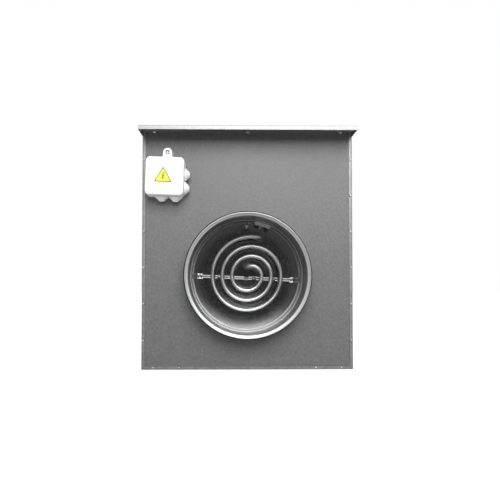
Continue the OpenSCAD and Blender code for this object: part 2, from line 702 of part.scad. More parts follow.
module neutral_wires() color([0.15, 0.3, 0.6]) {
    wire(supply(-1.6, 2.2, [[-114, -91, 309], [-95, -87, 296], block_front(2, 4) + [0, 0, 2],
        block_front(2, 0)]), wire_r);
    wire([block_rear(2, 0), block_rear(2, 8), [-80, -10, 290], [0, 40, 296], [20, 30, 294],
        [leg_rear[0] - 2.6, leg_rear[1] + 3.6, stud_top]], wire_r);
}

module earth_wires() color([0.35, 0.6, 0.15]) {
    wire(supply(-1.2, -2.4, [[-112, -93, 293], [-90, -93, 284], block_front(3, 7),
        block_front(3, 0)]), wire_r);
    wire([block_rear(3, 0), block_rear(3, 8), [-82, 0, 282], [-70, 30, 274],
        [stud_x - 4.6, stud_y - 2, floor_z + 7.4]], wire_r);
}

module earth_stud() color(bright_zinc) translate([stud_x, stud_y, floor_z - 2])
    cylinder(r = 3, h = 18, $fn = 32);

module earth_nuts() color(bright_zinc) for (z = [sheet, sheet + 7.8])
    translate([stud_x, stud_y, floor_z + z]) hex_nut(10, 4.6, 3.05);

// ---- choice of node ----

casing_wrap();
front_panel();
rear_panel();
top_cover();
cover_screws();
edge_rivets();
front_spigot();
rear_spigot();
front_seal();
rear_seal();
duct_tube();
cassette_tube();
insulation();
compartment_floor();
heating_element();
element_flange();
terminal_insulators();
terminal_studs();
terminal_nuts();
sensor_bulb();
sensor_clip();
damper_rod();
rod_clips();
damper_stop_ring();
flap_upper();
flap_lower();
damper_springs();
junction_box_base();
junction_box_lid();
cable_entries();
lid_screw();
junction_box_screws();
junction_box_terminals();
hazard_sign();
cable_bushing();
terminal_rail();
terminal_blocks();
rail_end_stops();
working_thermostat();
manual_cutout();
reset_bushing();
reset_button();
capillary_tube();
line_wires();
neutral_wires();
earth_wires();
earth_stud();
earth_nuts();
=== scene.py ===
"""The electric duct air heater's looks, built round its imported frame.

The cabinet is galvanised sheet. Pieces whose real edges are bent, rolled, moulded or wound are
built here as meshes and replace their plain CAD nodes. Every other node keeps its shape and gets
a procedural finish. Units are metres, +Z up, and the front faces -Y.
"""

from __future__ import annotations

import json
import logging
import math
from dataclasses import dataclass, field
from enum import Enum
from typing import Callable, Sequence

import bmesh
import bpy
from mathutils import Matrix, Vector

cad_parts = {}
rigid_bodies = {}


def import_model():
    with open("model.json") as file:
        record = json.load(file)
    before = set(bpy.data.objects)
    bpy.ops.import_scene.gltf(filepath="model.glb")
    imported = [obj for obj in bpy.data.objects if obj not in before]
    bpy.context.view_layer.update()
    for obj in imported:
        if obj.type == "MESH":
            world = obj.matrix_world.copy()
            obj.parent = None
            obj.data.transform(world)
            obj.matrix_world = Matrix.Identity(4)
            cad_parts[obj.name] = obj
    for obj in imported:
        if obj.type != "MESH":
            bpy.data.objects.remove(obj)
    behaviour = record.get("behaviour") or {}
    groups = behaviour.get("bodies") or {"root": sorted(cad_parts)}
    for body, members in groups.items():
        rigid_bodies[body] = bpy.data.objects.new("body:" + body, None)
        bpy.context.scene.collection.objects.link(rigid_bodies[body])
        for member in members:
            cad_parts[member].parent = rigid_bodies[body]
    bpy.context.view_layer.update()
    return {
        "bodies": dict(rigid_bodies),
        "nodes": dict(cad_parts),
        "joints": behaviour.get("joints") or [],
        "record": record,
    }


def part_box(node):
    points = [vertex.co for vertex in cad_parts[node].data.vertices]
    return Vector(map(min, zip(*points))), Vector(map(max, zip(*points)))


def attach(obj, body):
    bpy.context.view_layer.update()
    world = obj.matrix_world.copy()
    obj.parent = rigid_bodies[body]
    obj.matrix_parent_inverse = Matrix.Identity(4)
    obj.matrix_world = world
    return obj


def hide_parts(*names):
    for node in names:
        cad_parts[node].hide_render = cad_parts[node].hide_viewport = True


LOG = logging.getLogger("duct_heater")
MM = 0.001
CABINET = "cabinet"
SMOOTH_BELOW = 38.0  # degrees between two faces up to which their edge is shaded smooth

Point = tuple[float, float, float]
Pair = tuple[float, float]
CORNER_SIGNS = ((-1, -1), (1, -1), (1, 1), (-1, 1))


# ---------------------------------------------------------------- shader maths


class Sock:
    """A shader socket that takes part in Python arithmetic by adding Math nodes."""

    def __init__(self, graph: "Graph", socket: bpy.types.NodeSocket) -> None:
        """Keeps the socket and the graph that new nodes go into."""
        self.graph = graph
        self.socket = socket

    def _math(self, operation: str, *values: "Sock | float", clamp: bool = False) -> "Sock":
        """Adds one Math node.

        Args:
            operation: the Math node's operation.
            values: its inputs in order, sockets or numbers.
            clamp: whether the result is held between 0 and 1.

        Returns:
            The node's result.
        """
        settings = {"operation": operation, "use_clamp": clamp}
        return self.graph.add("ShaderNodeMath", settings, dict(enumerate(values)))

    def __add__(self, other: "Sock | float") -> "Sock":
        """self + other."""
        return self._math("ADD", self, other)

    def __radd__(self, other: float) -> "Sock":
        """other + self."""
        return self._math("ADD", other, self)

    def __sub__(self, other: "Sock | float") -> "Sock":
        """self - other."""
        return self._math("SUBTRACT", self, other)

    def __rsub__(self, other: float) -> "Sock":
        """other - self."""
        return self._math("SUBTRACT", other, self)

    def __mul__(self, other: "Sock | float") -> "Sock":
        """self * other."""
        return self._math("MULTIPLY", self, other)

    def __rmul__(self, other: float) -> "Sock":
        """other * self."""
        return self._math("MULTIPLY", other, self)

    def clamp(self) -> "Sock":
        """The value held between 0 and 1."""
        return self._math("ADD", self, 0.0, clamp=True)

    def ramp(self, low: float, high: float) -> "Sock":
        """Rises smoothly from 0 at low to 1 at high."""
        settings = {"interpolation_type": "SMOOTHSTEP"}
        return self.graph.add("ShaderNodeMapRange", settings, {0: self, 1: low, 2: high})


class Graph:
    """A node tree with one way to add a node."""

    def __init__(self, tree: bpy.types.NodeTree) -> None:
        """Empties the tree and keeps it."""
        self.tree = tree
        tree.nodes.clear()

    def add(
        self,
        kind: str,
        settings: dict[str, object] | None = None,
        inputs: dict[str | int, "Sock | float | Sequence[float]"] | None = None,
        out: str | int = 0,
    ) -> Sock:
        """Adds a node.

        Args:
            kind: the node's type.
            settings: properties, set before the sockets.
            inputs: socket name or index to a link or a value.
            out: name or index of the output to return.

        Returns:
            The chosen output.
        """
        node = self.tree.nodes.new(kind)
        for key, value in (settings or {}).items():
            setattr(node, key, value)
        for key, value in (inputs or {}).items():
            if isinstance(value, Sock):
                self.tree.links.new(value.socket, node.inputs[key])
            else:
                node.inputs[key].default_value = value
        return Sock(self, node.outputs[out] if len(node.outputs) else None)

    def place(self, scale: Point = (1.0, 1.0, 1.0)) -> Sock:
        """The object's own coordinates in metres, stretched by scale."""
        coords = self.add("ShaderNodeTexCoord", out="Object")
        return self.add("ShaderNodeMapping", inputs={"Vector": coords, "Scale": scale})

    def noise(self, where: Sock, scale: float, detail: float = 3.0, rough: float = 0.5) -> Sock:
        """Fractal noise from 0 to 1, with scale features to the metre."""
        inputs = {"Vector": where, "Scale": scale, "Detail": detail, "Roughness": rough}
        return self.add("ShaderNodeTexNoise", inputs=inputs)

    def mix(self, low: Sock | Sequence[float], high: Sock | Sequence[float], by: Sock) -> Sock:
        """A colour between two others.

        Args:
            low: the colour where by is 0.
            high: the colour where by is 1.
            by: the share of high.

        Returns:
            The mixed colour.
        """
        settings = {"data_type": "RGBA"}
        inputs = {"Factor": by, 6: low, 7: high}
        return self.add("ShaderNodeMix", settings, inputs, out=2)

    def bump(self, height: Sock, distance: float, strength: float = 1.0) -> Sock:
        """A normal that follows height, whose full step is distance metres."""
        inputs = {"Height": height, "Distance": distance, "Strength": strength}
        return self.add("ShaderNodeBump", inputs=inputs)


def colour(red: float, green: float, blue: float) -> tuple[float, float, float, float]:
    """An opaque linear colour."""
    return (red, green, blue, 1.0)


Look = dict[str | int, "Sock | float | Sequence[float]"]


def finish_material(name: str, look: Callable[[Graph], Look]) -> bpy.types.Material:
    """Makes a material with one Principled shader.

    Args:
        name: the material's name.
        look: takes the graph and returns the shader's inputs.

    Returns:
        The material.
    """
    material = bpy.data.materials.new(name)
    material.use_nodes = True
    graph = Graph(material.node_tree)
    shader = graph.add("ShaderNodeBsdfPrincipled", inputs=look(graph))
    graph.add("ShaderNodeOutputMaterial", inputs={"Surface": shader})
    return material


# ---------------------------------------------------------------- finishes


class Recipe:
    """A finish that can make its own material."""

    def material(self, name: str) -> bpy.types.Material:
        """The finish as a material."""
        return finish_material(name, self.look)

    def look(self, graph: Graph) -> Look:
        """The shader inputs, which each recipe gives."""
        raise NotImplementedError


@dataclass(frozen=True)
class ZincSheet(Recipe):
    """Galvanised sheet: grey metal with fine crystals, faint rolling lines and handling marks."""

    tone: float
    grain: float = 0.10
    roughness: float = 0.5
    metallic: float = 0.75
    crystals_per_metre: float = 420.0
    rolling: Point = (60.0, 60.0, 3.0)

    def look(self, graph: Graph) -> Look:
        """Each crystal has its own tone and sheen.

        Args:
            graph: the material's node tree.

        Returns:
            The shader's inputs.
        """
        where = graph.place()
        warped = graph.noise(where, self.crystals_per_metre * 0.5, 2.0)
        cells = graph.add(
            "ShaderNodeTexVoronoi",
            inputs={"Vector": where, "Scale": self.crystals_per_metre},
            out="Color",
        )
        crystal = graph.add("ShaderNodeSeparateColor", inputs={"Color": cells})
        speck = graph.noise(where, self.crystals_per_metre * 2.2, 2.0, 0.6)
        lines = graph.noise(graph.place(self.rolling), 5.0, 4.0, 0.55)
        marks = graph.noise(where, 7.0, 5.0, 0.6)
        level = (
            1.0
            + (crystal - 0.5) * self.grain
            + (speck - 0.5) * (self.grain * 1.6)
            + (warped - 0.5) * (self.grain * 1.2)
            + (lines - 0.5) * 0.07
            + (marks - 0.5) * 0.10
        )
        pale = colour(self.tone * 1.25, self.tone * 1.255, self.tone * 1.25)
        deep = colour(self.tone * 0.75, self.tone * 0.752, self.tone * 0.758)
        sheen = self.roughness + (crystal - 0.5) * 0.10 + (marks - 0.5) * 0.12
        height = speck * 0.6 + crystal * 0.25 + lines * 0.4
        return {
            "Base Color": graph.mix(deep, pale, ((level - 0.75) * 2.0).clamp()),
            "Metallic": self.metallic,
            "Roughness": sheen.clamp(),
            "Normal": graph.bump(height, 0.00006),
        }


@dataclass(frozen=True)
class BrightSteel(Recipe):
    """Plain bright or plated steel with fine draw marks and a faint tint."""

    tone: float = 0.7
    tint: Point = (1.0, 0.99, 0.965)
    roughness: float = 0.26
    heat_mark: float = 0.0

    def look(self, graph: Graph) -> Look:
        """Tone follows the draw marks, and heat turns patches straw brown.

        Args:
            graph: the material's node tree.

        Returns:
            The shader's inputs.
        """
        where = graph.place()
        fine = graph.noise(where, 900.0, 3.0, 0.6)
        broad = graph.noise(where, 30.0, 4.0, 0.55)
        clean = [self.tone * part for part in self.tint] + [1.0]
        dull = [self.tone * part * 0.72 for part in self.tint] + [1.0]
        straw = colour(self.tone * 0.78, self.tone * 0.62, self.tone * 0.42)
        base = graph.mix(dull, clean, (fine * 0.5 + broad * 0.5).ramp(0.3, 0.62))
        heated = graph.mix(base, straw, broad.ramp(0.52, 0.72) * self.heat_mark)
        return {
            "Base Color": heated,
            "Metallic": 1.0,
            "Roughness": (self.roughness + (fine - 0.5) * 0.14 + (broad - 0.5) * 0.12).clamp(),
            "Normal": graph.bump(fine, 0.00002),
        }


@dataclass(frozen=True)
class Moulded(Recipe):
    """Moulded plastic or rubber: an even colour with a fine spark texture and slight bloom."""

    base: Point
    roughness: float = 0.42
    texture: float = 0.00003
    bloom: float = 0.06

    def look(self, graph: Graph) -> Look:
        """The texture is a fine noise, and bloom shifts the colour slowly.

        Args:
            graph: the material's node tree.

        Returns:
            The shader's inputs.
        """
        where = graph.place()
        fine = graph.noise(where, 1500.0, 2.0, 0.6)
        slow = graph.noise(where, 45.0, 3.0, 0.5)
        light = [min(1.0, part * (1.0 + self.bloom)) for part in self.base] + [1.0]
        dark = [part * (1.0 - self.bloom) for part in self.base] + [1.0]
        return {
            "Base Color": graph.mix(dark, light, slow.ramp(0.3, 0.7)),
            "Roughness": (self.roughness + (slow - 0.5) * 0.12 + (fine - 0.5) * 0.06).clamp(),
            "Normal": graph.bump(fine, self.texture),
        }


@dataclass(frozen=True)
class Fibre(Recipe):
    """Pressed mineral wool: matt, with lying fibres, and darker where the fibres' bump is low, as
    painted shade in the hollows.
    """

    base: Point

    def look(self, graph: Graph) -> Look:
        """Long thin noise in two directions stands for the fibres.

        Args:
            graph: the material's node tree.

        Returns:
            The shader's inputs.
        """
        along = graph.noise(graph.place((1.0, 9.0, 1.0)), 90.0, 5.0, 0.7)
        across = graph.noise(graph.place((8.0, 1.0, 6.0)), 60.0, 5.0, 0.7)
        fibres = along * 0.5 + across * 0.5
        # Painted shade: the colour darkens where the fibre noise, which is also the bump's height,
        # is low.
        dark = [part * 0.55 for part in self.base] + [1.0]
        return {
            "Base Color": graph.mix(dark, [*self.base, 1.0], fibres.ramp(0.35, 0.6)),
            "Roughness": (0.85 + fibres * 0.1).clamp(),
            "Normal": graph.bump(fibres, 0.0012),
        }


@dataclass(frozen=True)
class StudioFloor(Recipe):
    """A plain pale floor that runs out to the white background."""

    level: float = 0.9
    glow: float = 0.6

    def look(self, graph: Graph) -> Look:
        """Nearly even white with a faint paper mottle.

        Args:
            graph: the material's node tree.

        Returns:
            The shader's inputs.
        """
        mottle = graph.noise(graph.place(), 12.0, 4.0)
        white = colour(self.level, self.level, self.level)
        lower = self.level * 0.98
        return {
            "Base Color": graph.mix(colour(lower, lower, lower), white, mottle),
            "Roughness": 0.8,
            "Emission Color": colour(1.0, 1.0, 1.0),
            "Emission Strength": self.glow,
        }


class Finish(Enum):
    """Every finish on the heater, by the part of it that wears it."""

    CASING = "casing_zinc"
    COVER = "cover_zinc"
    DUCT = "duct_zinc"
    DAMPER = "damper_sheet"
    SEAL = "seal_rubber"
    WOOL = "mineral_wool"
    SHEATH = "element_sheath"
    CERAMIC = "terminal_ceramic"
    BRASS = "terminal_brass"
    PLATED = "plated_steel_painted_light"
    FASTENER = "fastener_steel"
    BOX = "box_plastic"
    ENTRY = "entry_plastic"
    GREY = "grey_plastic"
    BLACK = "black_plastic"
    RED = "red_plastic"
    SIGN = "sign_film"
    COPPER = "capillary_copper"
    BROWN = "brown_insulation"
    BLUE = "blue_insulation"
    GREEN = "green_insulation"
    INK = "sign_ink"


RECIPES: dict[Finish, Recipe] = {
    # The casing panels wear the galvanised sheet at a far lower tone than the duct. This is painted
    # shade: it darkens panels whose dark look comes from reflecting the dim front.
    Finish.CASING: ZincSheet(tone=0.16, grain=0.22, metallic=0.45),
    # The cover and the wrap wear the sheet at a lowered tone. This is painted shade that tones down
    # the lip where the key light falls brightest.
    Finish.COVER: ZincSheet(tone=0.30, roughness=0.42, grain=0.16, crystals_per_metre=260.0),
    Finish.DUCT: ZincSheet(tone=0.56, roughness=0.38, grain=0.05, metallic=0.85),
    Finish.DAMPER: ZincSheet(tone=0.30, roughness=0.12, grain=0.06, metallic=1.0),
    Finish.SEAL: Moulded((0.012, 0.012, 0.013), roughness=0.5),
    Finish.WOOL: Fibre((0.55, 0.47, 0.28)),
    Finish.SHEATH: BrightSteel(tone=0.66, tint=(1.0, 1.0, 1.0), roughness=0.3, heat_mark=0.05),
    Finish.CERAMIC: Moulded((0.82, 0.79, 0.72), roughness=0.55, texture=0.00006),
    Finish.BRASS: BrightSteel(tone=0.78, tint=(1.0, 0.8, 0.42)),
    # Plated steel with its tone raised near white and almost no metal. This is painted light that
    # brightens the flange, clip and bulb, which sit in shade at the top of the duct.
    Finish.PLATED: ZincSheet(tone=0.95, grain=0.08, roughness=0.4, metallic=0.1),
    Finish.FASTENER: BrightSteel(tone=0.42, roughness=0.34),
    Finish.BOX: Moulded((0.88, 0.88, 0.875), roughness=0.38, bloom=0.02),
    Finish.ENTRY: Moulded((0.80, 0.80, 0.795), roughness=0.55, bloom=0.03),
    Finish.GREY: Moulded((0.30, 0.32, 0.34)),
    Finish.BLACK: Moulded((0.02, 0.02, 0.022)),
    Finish.RED: Moulded((0.60, 0.02, 0.015), roughness=0.3),
    Finish.SIGN: Moulded((0.93, 0.90, 0.04), roughness=0.3, texture=0.00001, bloom=0.02),
    Finish.COPPER: BrightSteel(tone=0.85, tint=(1.0, 0.52, 0.3)),
    Finish.BROWN: Moulded((0.10, 0.045, 0.02)),
    Finish.BLUE: Moulded((0.02, 0.07, 0.36)),
    Finish.GREEN: Moulded((0.12, 0.36, 0.03)),
    Finish.INK: Moulded((0.10, 0.11, 0.02), roughness=0.35, texture=0.00001),
}


class Palette:
    """Makes each finish's material once and dresses pieces with it."""

    def __init__(self) -> None:
        """Starts with no material made."""
        self._made: dict[Finish, bpy.types.Material] = {}

    def get(self, finish: Finish) -> bpy.types.Material:
        """The material of a finish, made when it is first asked for.

        Args:
            finish: the finish.

        Returns:
            Its material.
        """
        if finish not in self._made:
            self._made[finish] = RECIPES[finish].material(finish.value)
        return self._made[finish]

    def dress(self, piece: bpy.types.Object, finish: Finish) -> None:
        """Gives a piece one finish all over."""
        piece.data.materials.clear()
        piece.data.materials.append(self.get(finish))


# ---------------------------------------------------------------- mesh tools


def mesh_piece(
    name: str,
    points: Sequence[Sequence[float]],
    faces: Sequence[Sequence[int]],
    sharp: float = SMOOTH_BELOW,
) -> bpy.types.Object:
    """Makes a mesh object with outward faces and smooth shading up to a sharp angle.

    Args:
        name: the object's name.
        points: vertex places in metres.
        faces: vertex indices of each face.
        sharp: the angle in degrees above which an edge stays sharp.

    Returns:
        The linked object.
    """
    mesh = bpy.data.meshes.new(name)
    mesh.from_pydata([tuple(p) for p in points], [], [tuple(f) for f in faces])
    shape = bmesh.new()
    shape.from_mesh(mesh)
    bmesh.ops.recalc_face_normals(shape, faces=shape.faces)
    shape.to_mesh(mesh)
    shape.free()
    mesh.shade_smooth()
    mesh.set_sharp_from_angle(angle=math.radians(sharp))
    piece = bpy.data.objects.new(name, mesh)
    bpy.context.scene.collection.objects.link(piece)
    return piece


def stack_rings(
    name: str, rings: Sequence[Sequence[Vector]], closed: bool = False, sharp: float = SMOOTH_BELOW
) -> bpy.types.Object:
    """Skins a row of rings that have equal numbers of points.

    Args:
        name: the object's name.
        rings: the rings in order.
        closed: whether the last ring joins the first; otherwise both ends are capped.
        sharp: the angle in degrees above which an edge stays sharp.

    Returns:
        The linked object.
    """
    count = len(rings[0])
    points = [point for ring in rings for point in ring]
    faces: list[list[int]] = []
    for row in range(len(rings) if closed else len(rings) - 1):
        low, high = row * count, (row + 1) % len(rings) * count
        for k in range(count):
            after = (k + 1) % count
            faces.append([low + k, low + after, high + after, high + k])
    if not closed:
        faces.append(list(range(count)))
        faces.append([(len(rings) - 1) * count + k for k in reversed(range(count))])
    return mesh_piece(name, points, faces, sharp)


def join_pieces(name: str, pieces: Sequence[bpy.types.Object]) -> bpy.types.Object:
    """Joins several mesh objects into one.

    Args:
        name: the joined object's name.
        pieces: the objects, of which the first takes in the others.

    Returns:
        The joined object.
    """
    first = pieces[0]
    if len(pieces) > 1:
        with bpy.context.temp_override(
            active_object=first, selected_editable_objects=list(pieces)
        ):
            bpy.ops.object.join()
    first.name = name
    first.data.name = name
    return first


def copies(name: str, piece: bpy.types.Object, places: Sequence[Matrix]) -> bpy.types.Object:
    """One mesh object that holds a copy of a piece at each place.

    Args:
        name: the new object's name.
        piece: the pattern, which is removed.
        places: a matrix for each copy.

    Returns:
        The joined object.
    """
    points: list[Vector] = []
    faces: list[list[int]] = []
    for place in places:
        start = len(points)
        points += [place @ vertex.co for vertex in piece.data.vertices]
        faces += [[start + i for i in face.vertices] for face in piece.data.polygons]
    bpy.data.objects.remove(piece)
    return mesh_piece(name, points, faces)


def lathe(
    name: str, profile: Sequence[Pair], segments: int = 48, sharp: float = SMOOTH_BELOW
) -> bpy.types.Object:
    """Turns a closed profile of (radius, height) round Z. A radius of 0 ends in a tip.

    Args:
        name: the object's name.
        profile: the outline in order, closed back to its first point.
        segments: steps round the axis.
        sharp: the angle in degrees above which an edge stays sharp.

    Returns:
        The linked object.
    """
    points: list[Vector] = []
    rows: list[list[int]] = []
    for radius, height in profile:
        if radius < 1e-7:
            rows.append([len(points)] * segments)
            points.append(Vector((0.0, 0.0, height)))
            continue
        rows.append(list(range(len(points), len(points) + segments)))
        for k in range(segments):
            turn = 2 * math.pi * k / segments
            points.append(Vector((radius * math.cos(turn), radius * math.sin(turn), height)))
    faces: list[list[int]] = []
    for i, row in enumerate(rows):
        above = rows[(i + 1) % len(rows)]
        for k in range(segments):
            after = (k + 1) % segments
            corners = [row[k], row[after], above[after], above[k]]
            unique = list(dict.fromkeys(corners))
            if len(unique) > 2:
                faces.append(unique)
    return mesh_piece(name, points, faces, sharp)


def move(piece: bpy.types.Object, place: Matrix) -> bpy.types.Object:
    """Moves a piece's mesh, so that the object itself stays at the origin.

    Args:
        piece: the object.
        place: where its mesh goes.

    Returns:
        The same object.
    """
    piece.data.transform(place)
    piece.data.update()
    return piece


def rounded_path(corners: Sequence[Pair], radii: Sequence[float], steps: int = 5) -> list[Pair]:
    """An open line whose inner corners are rounded.

    Args:
        corners: the line's corners.
        radii: the bend radius at each corner; the first and last are unused.
        steps: points in each bend.

    Returns:
        The points of the rounded line.
    """
    line: list[Pair] = [corners[0]]
    for i in range(1, len(corners) - 1):
        corner = Vector(corners[i])
        back = (Vector(corners[i - 1]) - corner).normalized()
        on = (Vector(corners[i + 1]) - corner).normalized()
        half = back.angle(on) / 2
        reach = radii[i] / math.tan(half) if radii[i] else 0.0
        if reach == 0.0:
            line.append(corners[i])
            continue
        centre = corner + (back + on).normalized() * (radii[i] / math.sin(half))
        first = corner + back * reach - centre
        last = corner + on * reach - centre
        sweep = first.angle_signed(last)
        for k in range(steps + 1):
            arm = first.copy()
            arm.rotate(Matrix.Rotation(-sweep * k / steps, 2))
            line.append(tuple(centre + arm))
    line.append(corners[-1])
    return line


def sheet_profile(line: Sequence[Pair], thickness: float) -> list[Pair]:
    """The closed outline of a sheet whose left side follows a line.

    Args:
        line: the sheet's face.
        thickness: how far the other face lies to the line's right.

    Returns:
        The outline.
    """
    other: list[Pair] = []
    for i, point in enumerate(line):
        before = Vector(line[max(i - 1, 0)])
        after = Vector(line[min(i + 1, len(line) - 1)])
        along = (after - before).normalized()
        other.append((point[0] + along.y * thickness, point[1] - along.x * thickness))
    return list(line) + other[::-1]


def sweep_tube(
    name: str, path: Sequence[Vector], radius: float, sides: int = 20
) -> bpy.types.Object:
    """A round tube along a path, closed at both ends.

    Args:
        name: the object's name.
        path: the tube's centre line.
        radius: its radius.
        sides: points in each ring.

    Returns:
        The linked object.
    """
    up = Vector((0.0, 1.0, 0.0))
    rings: list[list[Vector]] = []
    for i, point in enumerate(path):
        along = (path[min(i + 1, len(path) - 1)] - path[max(i - 1, 0)]).normalized()
        if abs(along.dot(up)) > 0.98 and not rings:
            up = Vector((0.0, 0.0, 1.0))
        up = (up - along * along.dot(up)).normalized()
        side = along.cross(up)
        rings.append(
            [
                point
                + up * (radius * math.cos(2 * math.pi * k / sides))
                + side * (radius * math.sin(2 * math.pi * k / sides))
                for k in range(sides)
            ]
        )
    return stack_rings(name, rings)


def square_ring(side: float, corner: float, height: float, steps: int = 8) -> list[Vector]:
    """A ring in the shape of a square with round corners, centred on Z.

    Args:
        side: the square's side.
        corner: the corners' radius.
        height: the ring's place along Z.
        steps: steps round each corner.

    Returns:
        The ring's points.
    """
    ring: list[Vector] = []
    reach = side / 2 - corner
    for quarter, (sx, sy) in enumerate(((1, 1), (-1, 1), (-1, -1), (1, -1))):
        for k in range(steps + 1):
            turn = math.pi / 2 * (quarter + k / steps)
            x = sx * reach + corner * math.cos(turn)
            y = sy * reach + corner * math.sin(turn)
            ring.append(Vector((x, y, height)))
    return ring


# ---------------------------------------------------------------- the heater


@dataclass
class Assembly:
    """What every sub-assembly needs: the palette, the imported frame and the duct's height."""

    palette: Palette
    frame: dict
    axis_z: float = 151.0 * MM

    def settle(
        self,
        piece: bpy.types.Object,
        finish: Finish,
        *nodes: str,
        body: str = CABINET,
        slot: Finish | None = None,
    ) -> None:
        """Dresses a piece, hangs it on its body and hides what it stands for.

        Args:
            piece: the new mesh object.
            finish: its finish.
            nodes: the CAD nodes that it replaces.
            body: the body that it moves with.
            slot: not used.
        """
        self.palette.dress(piece, finish)
        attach(piece, body)
        if nodes:
            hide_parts(*nodes)
        LOG.info("%s rides on %s", piece.name, body)

    def coat(self, finishes: dict[str, Finish]) -> None:
        """Gives carried-over CAD nodes their finish.

        Args:
            finishes: each node's finish by its name.
        """
        for node, finish in finishes.items():
            self.palette.dress(self.frame["nodes"][node], finish)
            LOG.info("%s keeps its CAD shape", node)


@dataclass
class Casing(Assembly):
    """The cabinet: wrap, panels, folded cover, pop rivets and screws."""

    cover_sheet: float = 0.8 * MM
    cover_rim: float = 20.0 * MM
    bend: float = 1.3 * MM
    bend_steps: int = 4
    wrap_sheet: float = 1.0 * MM
    rivet_pitch: float = 58.5 * MM
    rivet_low: float = 46.0 * MM
    rivet_count: int = 6
    hem: float = 5.0 * MM
    bottom_rivets: tuple[float, ...] = (-151 * MM, -110 * MM, 110 * MM, 151 * MM)

    def build(self) -> None:
        """Builds the wrap, the cover and the rivets, and coats the flat sheets."""
        self.coat(
            {
                "front_panel": Finish.CASING,
                "rear_panel": Finish.CASING,
                "compartment_floor": Finish.CASING,
                "insulation": Finish.WOOL,
                "cover_screws": Finish.FASTENER,
            }
        )
        self._wrap()
        self._cover()
        self._rivets()

    def _wrap(self) -> None:
        """One sheet bent round the left side, the bottom and the right side, hemmed inwards."""
        low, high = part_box("casing_wrap")
        outline = rounded_path(
            [(self.hem, low.y), (0.0, low.y), (0.0, high.y), (self.hem, high.y)],
            [0.0, self.bend, self.bend, 0.0],
        )
        profile = sheet_profile(outline, self.wrap_sheet)
        rings = []
        for edge, inwards, mitred in (
            (low.x, 1, False), (low.x, 1, True), (high.x, -1, True), (high.x, -1, False),
        ):  # fmt: skip
            rings.append(
                [
                    Vector((edge + inwards * depth, y, low.z + depth if mitred else high.z))
                    for depth, y in profile
                ]
            )
        wrap = stack_rings("wrap_sheet", rings, sharp=50.0)
        self.settle(wrap, Finish.COVER, "casing_wrap")

    def _cover(self) -> None:
        """A tray of sheet: a flat top, bent down on all four sides."""
        low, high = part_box("top_cover")
        centre = (low + high) / 2
        size_x, size_y = high.x - low.x, high.y - low.y
        drop = high.z - low.z
        outer = self._tray_rings(size_x, size_y, drop, 0.0)
        inner = self._tray_rings(size_x, size_y, drop, self.cover_sheet)
        tray = stack_rings("cover_sheet", inner + outer[::-1], sharp=50.0)
        move(tray, Matrix.Translation((centre.x, centre.y, high.z)))
        self.settle(tray, Finish.COVER, "top_cover")

    def _tray_rings(
        self, size_x: float, size_y: float, drop: float, inset: float
    ) -> list[list[Vector]]:
        """Rectangular rings from the flat top out over the bend and down the lip.

        Args:
            size_x: the cover's outer width.
            size_y: its outer depth.
            drop: its height.
            inset: how far the rings' face lies inside the outer face.

        Returns:
            The rings, round Z, with the outer face's top at Z = 0.
        """
        radius = self.bend - inset
        half_x, half_y = size_x / 2 - inset, size_y / 2 - inset
        stations = [(self.cover_rim, -inset), (radius, -inset)]
        for k in range(1, self.bend_steps + 1):
            lean = math.pi / 2 * k / self.bend_steps
            stations.append(
                (radius * (1 - math.sin(lean)), -inset - radius * (1 - math.cos(lean)))
            )
        stations.append((0.0, -drop))
        rings = []
        for back, height in stations:
            x, y = half_x - back, half_y - back
            rings.append([Vector((a * x, b * y, height)) for a, b in CORNER_SIGNS])
        return rings

    def _rivets(self) -> None:
        """Pop rivets: a shallow dome with the hollow of the broken mandrel in the middle."""
        dome = [(0.0, 0.55), (0.7, 0.55), (0.8, 1.15), (1.4, 1.05), (2.0, 0.7), (2.3, 0.3)]
        shank = [(2.35, 0.0), (1.5, 0.0), (1.5, -2.4), (0.0, -2.4)]
        profile = [(r * MM, h * MM) for r, h in dome + shank]
        pattern = lathe("rivet_pattern", profile, 20)
        low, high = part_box("casing_wrap")
        edge = high.x - self.hem / 2
        spots = [
            (side * edge, self.rivet_low + i * self.rivet_pitch)
            for side in (-1, 1)
            for i in range(self.rivet_count)
        ]
        spots += [(x, self.hem / 2) for x in self.bottom_rivets]
        out = Matrix.Rotation(math.radians(90), 4, "X")
        back = Matrix.Rotation(math.radians(-90), 4, "X")
        places = [Matrix.Translation((x, low.y, z)) @ out for x, z in spots]
        places += [Matrix.Translation((x, high.y, z)) @ back for x, z in spots]
        rivets = copies("pop_rivets", pattern, places)
        self.settle(rivets, Finish.FASTENER, "edge_rivets")


